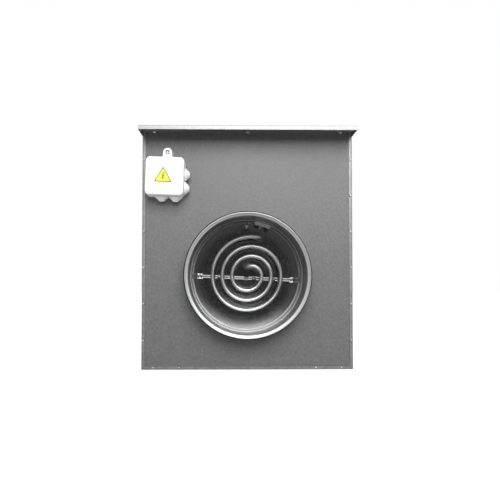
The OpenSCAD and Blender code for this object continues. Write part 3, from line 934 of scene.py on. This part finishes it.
@dataclass
class Duct(Assembly):
    """The duct: rolled spigots, lip seals, tube, cassette and its fittings."""

    sheet: float = 0.7 * MM
    radius: float = 99.0 * MM
    groove_depth: float = 4.4 * MM
    roll: float = 1.5 * MM
    sleeve: float = 18.0 * MM
    segments: int = 192

    def build(self) -> None:
        """Builds both spigots and seals, and coats the rest."""
        self.coat(
            {
                "duct_tube": Finish.DUCT,
                "cassette_tube": Finish.DUCT,
                "damper_stop_ring": Finish.DUCT,
                # These three wear the brightened plated steel: painted light against the shade at
                # the duct's top.
                "element_flange": Finish.PLATED,
                "sensor_clip": Finish.PLATED,
                "sensor_bulb": Finish.PLATED,
            }
        )
        for node, seal, front in (
            ("front_spigot", "front_seal", True),
            ("rear_spigot", "rear_seal", False),
        ):
            low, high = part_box(node)
            rim = low.y if front else high.y
            place = self._place(rim, front)
            length = high.y - low.y
            self._spigot(node, place, length)
            self._seal(seal, place)

    def _place(self, rim: float, front: bool) -> Matrix:
        """From a lathe's frame, with Z = 0 at the rim and +Z into the cabinet, to the object's."""
        turn = Matrix.Rotation(math.radians(-90 if front else 90), 4, "X")
        return Matrix.Translation((0.0, rim, self.axis_z)) @ turn

    def _spigot(self, node: str, place: Matrix, length: float) -> None:
        """Sheet rolled in at the rim, pressed in for the seal, necked down behind the panel.

        Args:
            node: the CAD node that it replaces.
            place: from the lathe's frame to the object's.
            length: from the rim to the inner end.
        """
        out, deep = self.radius, self.radius - self.groove_depth
        flange_at = length - self.sleeve
        neck_at = flange_at - 1.2 * MM
        neck = out - 0.6 * MM
        collar_radius = out + 12 * MM
        line = rounded_path(
            [
                (out - self.roll, 2.2 * MM),
                (out - self.roll, 0.0),
                (out, 0.0),
                (out, 7.6 * MM),
                (deep, 9.0 * MM),
                (deep, 14.0 * MM),
                (out, 15.4 * MM),
                (out, neck_at - 0.6 * MM),
                (neck, neck_at),
                (neck, length),
            ],
            [0, 0.6 * MM, 0.9 * MM, 1.6 * MM, 1.4 * MM, 1.4 * MM, 1.6 * MM, 0, 0, 0],
        )
        tube = lathe("spigot_tube", sheet_profile(line, -self.sheet), self.segments)
        collar = lathe(
            "spigot_collar",
            [
                (neck - 0.1 * MM, flange_at),
                (collar_radius, flange_at),
                (collar_radius, flange_at + self.sheet),
                (neck - 0.1 * MM, flange_at + self.sheet),
            ],
            self.segments,
        )
        spigot = move(join_pieces(f"{node}_sheet", [tube, collar]), place)
        self.settle(spigot, Finish.DUCT, node)

    def _seal(self, node: str, place: Matrix) -> None:
        """A rubber ring whose two free lips lean away from the rim.

        Args:
            node: the CAD node that it replaces.
            place: from the lathe's frame to the object's.
        """
        groove_floor = self.radius - self.groove_depth
        points = [
            (0.05, 9.2), (2.6, 9.2), (6.9, 12.2), (6.9, 12.8), (2.9, 10.9),
            (2.9, 11.6), (6.6, 14.4), (6.6, 15.0), (2.4, 13.8), (0.05, 13.8),
        ]  # fmt: skip
        profile = [(groove_floor + r * MM, y * MM) for r, y in points]
        ring = lathe(f"{node}_lips", profile, self.segments, sharp=60.0)
        self.settle(move(ring, place), Finish.SEAL, node)


@dataclass
class Element(Assembly):
    """The spiral: one sheathed tube bent double and wound, so that it has two layers and legs."""

    radius: float = 3.25 * MM
    turn_radius: float = 67.5 * MM
    step: float = 8.4 * MM
    front_y: float = -35.0 * MM
    layer_gap: float = 20.0 * MM
    leg_top: float = 276.0 * MM
    leg_bottom: float = 236.0 * MM
    leg_bend: float = 16.0 * MM
    turn_bend: float = 15.0 * MM
    start: float = 82.0
    legs: tuple[Pair, Pair] = ((24.5 * MM, 0.0), (27.0 * MM, 15.0 * MM))
    half_turns: int = 5
    arc_step: float = 5.0

    def build(self) -> None:
        """Builds the tube, and coats the terminals."""
        tube = sweep_tube("element_tube", self.route(), self.radius, 24)
        self.settle(tube, Finish.SHEATH, "heating_element")
        self.coat(
            {
                "terminal_insulators": Finish.CERAMIC,
                "terminal_studs": Finish.BRASS,
                "terminal_nuts": Finish.FASTENER,
            }
        )

    def route(self) -> list[Vector]:
        """The tube's centre line: a hairpin, wound with one leg straight behind the other.

        Returns:
            The points from the front leg's end to the rear leg's.
        """
        front = self._layer(self.legs[0], self.front_y)
        rear = self._layer(self.legs[1], self.front_y + self.layer_gap)
        reach = self.layer_gap / 2
        middle = front[-1] + Vector((0.0, reach, 0.0))
        path = front
        for degrees in range(10, 180, 10):
            turn = math.radians(degrees)
            path.append(middle - Vector((math.sin(turn), math.cos(turn), 0.0)) * reach)
        return path + rear[::-1]

    def _on(self, x: float, y: float, radius: float, degrees: float) -> Vector:
        """A point on a turn round a centre at the duct's height."""
        turn = math.radians(degrees)
        return Vector((x + radius * math.cos(turn), y, self.axis_z + radius * math.sin(turn)))

    def _turn(self, x: float, y: float, radius: float, start: float, end: float) -> list[Vector]:
        """An arc without its first point.

        Args:
            x: the arc's centre along X.
            y: its plane's place along Y.
            radius: its radius.
            start: where it starts, in degrees.
            end: where it ends, in degrees.

        Returns:
            The points after the first.
        """
        count = math.ceil((end - start) / self.arc_step)
        span = end - start
        return [self._on(x, y, radius, start + span * i / count) for i in range(1, count + 1)]

    def _layer(self, leg: Pair, y: float) -> list[Vector]:
        """One leg and its layer of turns, from the terminal to where the tube doubles back.

        Args:
            leg: where the leg stands in plan.
            y: the layer's place along Y.

        Returns:
            The points of the centre line.
        """
        first = self._on(self.step, y, self.turn_radius, self.start)
        foot = Vector((*leg, self.leg_bottom))
        lean = math.radians(self.start)
        back = Vector((math.sin(lean), 0.0, -math.cos(lean))) * self.turn_bend
        path = [Vector((*leg, self.leg_top)), foot]
        path += bend(foot, foot - up(self.leg_bend), first + back, first)
        path += self._turn(self.step, y, self.turn_radius, self.start, 180)
        for i in range(1, self.half_turns + 1):
            low, x = (0, self.step) if i % 2 == 0 else (180, 0.0)
            path += self._turn(x, y, self.turn_radius - i * self.step, low, low + 180)
        inner = self.turn_radius - (self.half_turns + 1) * self.step
        return path + self._turn(self.step, y, inner, 0, 90)


def up(height: float) -> Vector:
    """A step straight up."""
    return Vector((0.0, 0.0, height))


def bend(a: Vector, b: Vector, c: Vector, d: Vector, steps: int = 16) -> list[Vector]:
    """A cubic curve without its first point.

    Args:
        a: where it starts.
        b: the point that it leaves towards.
        c: the point that it arrives from.
        d: where it ends.
        steps: steps along it.

    Returns:
        The points after the first.
    """
    path: list[Vector] = []
    for i in range(1, steps + 1):
        t = i / steps
        s = 1 - t
        path.append(s**3 * a + 3 * s * s * t * b + 3 * s * t * t * c + t**3 * d)
    return path


@dataclass
class Damper(Assembly):
    """The sprung damper: rod, flaps, clips and the two torsion springs."""

    tilt: float = 2.4
    coil_radius: float = 3.4 * MM
    wire: float = 0.6 * MM
    turns: int = 3
    coil_start: float = 79.5 * MM
    coil_length: float = 15.3 * MM
    leg: float = 7.0 * MM

    def build(self) -> None:
        """Winds the springs, and coats the flaps and the rod."""
        self.coat(
            {
                "flap_upper": Finish.DAMPER,
                "flap_lower": Finish.DAMPER,
                "damper_rod": Finish.DAMPER,
                "rod_clips": Finish.FASTENER,
            }
        )
        joint = next(j for j in self.frame["joints"] if j["name"] == "upper_flap_fold")
        turn = Matrix.Rotation(math.radians(self.tilt), 4, "Y")
        place = Matrix.Translation(joint["pos_m"]) @ turn
        coils = []
        for side in (1, -1):
            path = [Vector((side * p.x, p.y, p.z)) for p in self._coil()]
            coils.append(sweep_tube(f"coil_{side}", path, self.wire, 10))
        springs = move(join_pieces("torsion_springs", coils), place)
        self.settle(springs, Finish.FASTENER, "damper_springs")

    def _coil(self) -> list[Vector]:
        """One spring's wire: a leg down to the coil and a leg below it.

        Returns:
            The wire's centre line in the rod's frame.
        """
        start, end = self.coil_start, self.coil_start + self.coil_length
        path = [Vector((start, -self.coil_radius, self.leg * part)) for part in (1.0, 0.5)]
        steps = self.turns * 24
        for i in range(steps + 1):
            turn = 2 * math.pi * self.turns * i / steps
            x = start + self.coil_length * i / steps
            y = -self.coil_radius * math.cos(turn)
            path.append(Vector((x, y, -self.coil_radius * math.sin(turn))))
        path += [Vector((end, -self.coil_radius, -self.leg * part)) for part in (0.5, 1.0)]
        return path


@dataclass
class JunctionBox(Assembly):
    """The white box on the front: tub, snap lid, soft entries, screws and the hazard sign."""

    side: float = 61.0 * MM
    corner: float = 7.0 * MM
    wall: float = 1.8 * MM
    turn: float = 1.8
    entry_depth: float = 14.0 * MM
    side_entries: tuple[float, float] = (5.5 * MM, -16.5 * MM)
    bottom_entries: tuple[float, float] = (-5 * MM, 17 * MM)
    post_x: float = 3.5 * MM
    post_radius: float = 7.0 * MM
    ear_drop: float = 2.0 * MM
    recess: float = 3.2 * MM
    recess_radius: float = 3.6 * MM
    screw_hole: float = 1.75 * MM
    sign_side: float = 28.0 * MM
    sign_place: Pair = (-2.1 * MM, -1.6 * MM)
    border: float = 2.7 * MM
    place: Matrix = field(default_factory=Matrix)

    def build(self) -> None:
        """Builds each moulding in the box's own frame and puts it on the panel."""
        low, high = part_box("junction_box_lid")
        base_low, base_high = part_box("junction_box_base")
        middle_x, middle_z = (low.x + high.x) / 2, low.z + (high.x - low.x) / 2
        self.place = (
            Matrix.Translation((middle_x, base_high.y, middle_z))
            @ Matrix.Rotation(math.radians(self.turn), 4, "Y")
            @ Matrix.Rotation(math.radians(90), 4, "X")
        )
        depth = base_high.y - base_low.y
        top = base_high.y - low.y
        self._base(depth)
        self._lid(depth, top)
        self._entries()
        self._sign(top)
        self.coat(
            {
                "lid_screw": Finish.FASTENER,
                "junction_box_screws": Finish.FASTENER,
                "junction_box_terminals": Finish.GREY,
                "cable_bushing": Finish.SEAL,
            }
        )

    def _base(self, depth: float) -> None:
        """The tub, slightly drafted, with the post that takes the lid's screw.

        Args:
            depth: the tub's height off the panel.
        """
        side, wall, corner = self.side, self.wall, self.corner
        stations = [
            (side - 0.3 * MM, 0.0),
            (side, 0.5 * MM),
            (side - 0.8 * MM, depth - 0.4 * MM),
            (side - 1.4 * MM, depth),
            (side - 2 * wall, depth),
            (side - 2 * wall - 1.0 * MM, wall + 1.0 * MM),
            (side - 2 * wall - 3.0 * MM, wall),
        ]
        rings = [square_ring(s, corner - (side - s) / 2, h) for s, h in stations]
        tub = stack_rings("box_tub", rings)
        stations = ((0.4 * MM, 0.0), (0.0, 0.5 * MM), (0.2 * MM, depth))
        post = stack_rings("box_post", [self._ear_ring(inset, h) for inset, h in stations])
        base = move(join_pieces("junction_box_tub", [tub, post]), self.place)
        self.settle(base, Finish.BOX, "junction_box_base")

    def _ear_ring(self, inset: float, height: float) -> list[Vector]:
        """The outline of the round ear and its web.

        Args:
            inset: how far the round end is drawn in.
            height: the ring's place along Z.

        Returns:
            The ring's points.
        """
        radius = self.post_radius - inset
        y = self.side / 2 + self.post_radius
        foot = self.side / 2 - 1.0 * MM
        ring: list[Vector] = []
        for k in range(33):
            turn = math.pi * k / 32
            ring.append(
                Vector((self.post_x + radius * math.cos(turn), y + radius * math.sin(turn), height))
            )
        reach = radius + 1.2 * MM
        web = [(-radius, foot + 4 * MM)]
        web += [(-reach + reach * k / 4, foot) for k in range(9)]
        web.append((radius, foot + 4 * MM))
        return ring + [Vector((self.post_x + x, y, height)) for x, y in web]

    def _lid(self, depth: float, top: float) -> None:
        """The snap lid: soft edges, a faint crown and a plug ring inside the tub.

        Args:
            depth: where the tub ends.
            top: the lid's front face.
        """
        side, corner = self.side, self.corner
        gap = 0.3 * MM
        soft = 2.4 * MM
        plug = side - 2 * self.wall - 1.4 * MM
        plug_end = depth - 2.5 * MM
        inner = side - 4 * self.wall
        stations = [
            (inner, plug_end),
            (plug, plug_end),
            (plug, depth + gap),
            (side - 0.6 * MM, depth + gap),
            (side, depth + gap + 0.5 * MM),
            (side - 0.9 * MM, top - soft),
        ]
        for k in range(1, 6):
            lean = math.pi / 2 * k / 5
            inset = 0.45 * MM + soft * (1 - math.cos(lean))
            stations.append((side - 2 * inset, top - soft + (soft - 0.25 * MM) * math.sin(lean)))
        stations += [(side * 0.6, top - 0.08 * MM), (side * 0.25, top)]
        rings = [square_ring(s, max(corner * s / side, 1 * MM), h) for s, h in stations]
        hollow = [
            square_ring(inner * part, corner * part, depth + 6.5 * MM) for part in (0.3, 1.0)
        ]
        lid = stack_rings("junction_box_cap", hollow + rings)
        whole = join_pieces("junction_box_cap", [lid, self._ear(depth + gap, top - self.ear_drop)])
        self.settle(move(whole, self.place), Finish.BOX, "junction_box_lid", body="box_lid")

    def _ear(self, foot: float, top: float) -> bpy.types.Object:
        """The lid's ear, with a soft edge and a recess for the screw's head.

        Args:
            foot: where the ear meets the post.
            top: the ear's front face.

        Returns:
            The ear as an object.
        """
        soft = 0.8 * MM
        rings = [self._ear_ring(0.0, foot), self._ear_ring(0.0, top - soft)]
        rings += [self._ear_ring(0.3 * soft, top - 0.3 * soft), self._ear_ring(soft, top)]
        middle = Vector((self.post_x, self.side / 2 + self.post_radius, 0.0))
        chamfer = 0.3 * MM
        mouth = []
        for radius, drop in (
            (self.recess_radius + chamfer, 0.0),
            (self.recess_radius, chamfer),
            (self.recess_radius, self.recess),
            (self.screw_hole, self.recess),
        ):
            ring = []
            for point in rings[-1]:
                arm = Vector((point.x, point.y, 0.0)) - middle
                ring.append(middle + arm.normalized() * radius + up(top - drop))
            mouth.append(ring)
        return stack_rings("box_ear", rings + mouth, sharp=30.0)

    def _entries(self) -> None:
        """Stepped membranes, two on the right side and two below."""
        steps = [
            (0.0, -3.3), (8.0, -3.3), (8.4, -3.0), (8.4, 0.0), (10.4, 0.1), (10.5, 1.4),
            (10.0, 2.7), (8.9, 3.0), (8.3, 3.1), (8.0, 4.1), (6.9, 4.6), (6.5, 4.7),
            (6.2, 6.0), (5.2, 6.5), (4.7, 6.6), (4.3, 7.7), (3.4, 8.0), (0.0, 8.0),
        ]  # fmt: skip
        pattern = lathe("entry_pattern", [(r * MM, h * MM) for r, h in steps], 40)
        places = []
        for y in self.side_entries:
            at = Matrix.Translation((self.side / 2, y, self.entry_depth))
            places.append(self.place @ at @ Matrix.Rotation(math.pi / 2, 4, "Y"))
        for x in self.bottom_entries:
            at = Matrix.Translation((x, -self.side / 2, self.entry_depth))
            places.append(self.place @ at @ Matrix.Rotation(math.pi / 2, 4, "X"))
        entries = copies("cable_membranes", pattern, places)
        self.settle(entries, Finish.ENTRY, "cable_entries")

    def _sign(self, top: float) -> None:
        """A plain triangle with a border and a zigzag arrow, as raised print on film.

        Args:
            top: the lid's front face.
        """
        reach = self.sign_side / math.sqrt(3)
        film_top, print_foot, ink = 0.14 * MM, 0.15 * MM, 0.06 * MM
        centre = Matrix.Translation((*self.sign_place, top + 0.02 * MM))
        film = stack_rings("sign_base", [triangle(reach, h) for h in (0.0, film_top)])
        outer = triangle(reach, print_foot)
        inner = triangle(reach - self.border, print_foot)
        border = stack_rings(
            "sign_border", [outer, inner, lift(inner, ink), lift(outer, ink)], closed=True
        )
        zigzag = [
            (0.36, 6.624), (-2.28, 1.104), (-0.24, 1.38), (-1.2, -1.472), (-2.52, -1.38),
            (-0.6, -4.324), (1.92, -1.748), (0.48, -1.656), (2.4, 2.944), (0.24, 2.668),
            (2.28, 6.624),
        ]  # fmt: skip
        flat = [Vector((x * MM, y * MM, print_foot)) for x, y in zigzag]
        arrow = stack_rings("sign_arrow", [flat, lift(flat, ink)])
        for piece in (film, border, arrow):
            move(piece, self.place @ centre)
        self.settle(film, Finish.SIGN, "hazard_sign", body="box_lid")
        for mark in (border, arrow):
            self.settle(mark, Finish.INK, body="box_lid", slot=Finish.SIGN)


def triangle(reach: float, height: float, corner: float = 0.9 * MM) -> list[Vector]:
    """An upright triangle with rounded points, centred on Z.

    Args:
        reach: from its centre to a point, if that were sharp.
        height: the ring's place along Z.
        corner: the points' radius.

    Returns:
        The ring's points.
    """
    ring: list[Vector] = []
    inner = reach - 2 * corner
    for tip in range(3):
        lean = math.radians(90 + 120 * tip)
        x, y = inner * math.cos(lean), inner * math.sin(lean)
        for k in range(7):
            turn = lean + math.radians(-60 + 20 * k)
            ring.append(Vector((x + corner * math.cos(turn), y + corner * math.sin(turn), height)))
    return ring


def lift(ring: Sequence[Vector], height: float) -> list[Vector]:
    """The same ring, higher."""
    return [point + up(height) for point in ring]


@dataclass
class Electrics(Assembly):
    """What is in the compartment above the duct, and the reset key on the rear panel."""

    def build(self) -> None:
        """Coats every node."""
        self.coat(
            {
                "terminal_rail": Finish.FASTENER,
                "terminal_blocks": Finish.GREY,
                "rail_end_stops": Finish.GREY,
                "working_thermostat": Finish.BLACK,
                "manual_cutout": Finish.BLACK,
                "reset_bushing": Finish.FASTENER,
                "reset_button": Finish.RED,
                "capillary_tube": Finish.COPPER,
                "line_wires": Finish.BROWN,
                "neutral_wires": Finish.BLUE,
                "earth_wires": Finish.GREEN,
                "earth_stud": Finish.FASTENER,
                "earth_nuts": Finish.FASTENER,
            }
        )


@dataclass(frozen=True)
class Softbox:
    """One square area light: its place, what it faces, its side and its power in watts."""

    name: str
    eye: Point
    aim: Point
    size: float
    power: float

    def hang(self) -> None:
        """Makes the light and hangs it up."""
        data = bpy.data.lights.new(self.name, "AREA")
        data.size = self.size
        data.energy = self.power
        lamp = bpy.data.objects.new(self.name, data)
        bpy.context.scene.collection.objects.link(lamp)
        lamp.location = self.eye
        look_at(lamp, self.aim)


def look_at(thing: bpy.types.Object, aim: Point) -> None:
    """Turns a camera or a light, already in place, to face a point.

    Args:
        thing: the camera or light.
        aim: the point.
    """
    gaze = Vector(aim) - thing.location
    thing.rotation_euler = gaze.to_track_quat("-Z", "Y").to_euler()


@dataclass
class Studio:
    """The camera, the floor, the lights and the white surround.

    The surround's light is the sum of four parts: front is its level all round, ceiling and
    below add to it overhead and underfoot, and sides adds to it on the left and right.
    """

    eye: Point = (-0.019, -1.227, 0.144)
    aim: Point = (0.004, -0.110, 0.1919)
    lens: float = 49.9
    floor_reach: float = 6.0
    floor_drop: float = 0.2 * MM
    front: float = 0.06
    ceiling: float = 0.55
    sides: float = 0.55
    below: float = 0.5
    lights: tuple[Softbox, ...] = (
        Softbox("key", (0.15, -1.7, 1.05), (0.0, -0.1, 0.2), 1.1, 28.0),
        Softbox("top", (0.3, -0.9, 1.6), (0.0, -0.1, 0.1), 1.0, 5.0),
    )

    def build(self) -> None:
        """Sets the whole studio up."""
        self._camera()
        self._floor()
        self._world()
        for light in self.lights:
            light.hang()
        bpy.context.scene.view_settings.view_transform = "Standard"

    def _camera(self) -> None:
        """A camera at the front, a little below the middle and looking slightly up."""
        data = bpy.data.cameras.new("camera")
        data.lens = self.lens
        camera = bpy.data.objects.new("camera", data)
        bpy.context.scene.collection.objects.link(camera)
        camera.location = self.eye
        look_at(camera, self.aim)
        bpy.context.scene.camera = camera

    def _floor(self) -> None:
        """A wide pale floor, which neither lights the heater nor shows in its sheet."""
        reach = self.floor_reach
        corners = [(a * reach, b * reach, -self.floor_drop) for a, b in CORNER_SIGNS]
        floor = mesh_piece("floor", corners, [[0, 1, 2, 3]])
        floor.data.materials.append(StudioFloor().material("floor_paper"))
        floor.visible_diffuse = False
        floor.visible_glossy = False

    def _world(self) -> None:
        """White where the background shows; for light, dim in front and brighter all round it."""
        world = bpy.data.worlds.new("surround")
        world.use_nodes = True
        bpy.context.scene.world = world
        graph = Graph(world.node_tree)
        way = graph.add("ShaderNodeTexCoord", out="Generated")
        across = graph.add("ShaderNodeSeparateXYZ", inputs={0: way}, out="X")
        height = graph.add("ShaderNodeSeparateXYZ", inputs={0: way}, out="Z")
        beside = (across * across).ramp(0.0, 0.35)
        above = self.ceiling * height.ramp(0.02, 0.8)
        under = self.below * (0.0 - height).ramp(0.2, 0.6)
        level = self.front + above + under + self.sides * beside
        room = graph.mix(colour(0.0, 0.0, 0.0), colour(1.0, 1.0, 1.0), level)
        seen = graph.add("ShaderNodeLightPath", out="Is Camera Ray")
        tint = graph.mix(room, colour(1.0, 1.0, 1.0), seen)
        glow = graph.add("ShaderNodeBackground", inputs={"Color": tint, "Strength": 1.0})
        graph.add("ShaderNodeOutputWorld", inputs={"Surface": glow})


def main() -> None:
    """Builds the studio and each sub-assembly."""
    logging.basicConfig(level=logging.INFO, format="%(name)s: %(message)s")
    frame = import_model()
    palette = Palette()
    Studio().build()
    for assembly in (Casing, Duct, Element, Damper, JunctionBox, Electrics):
        assembly(palette, frame).build()
        LOG.info("%s done", assembly.__name__)


if __name__ == "__main__":
    main()
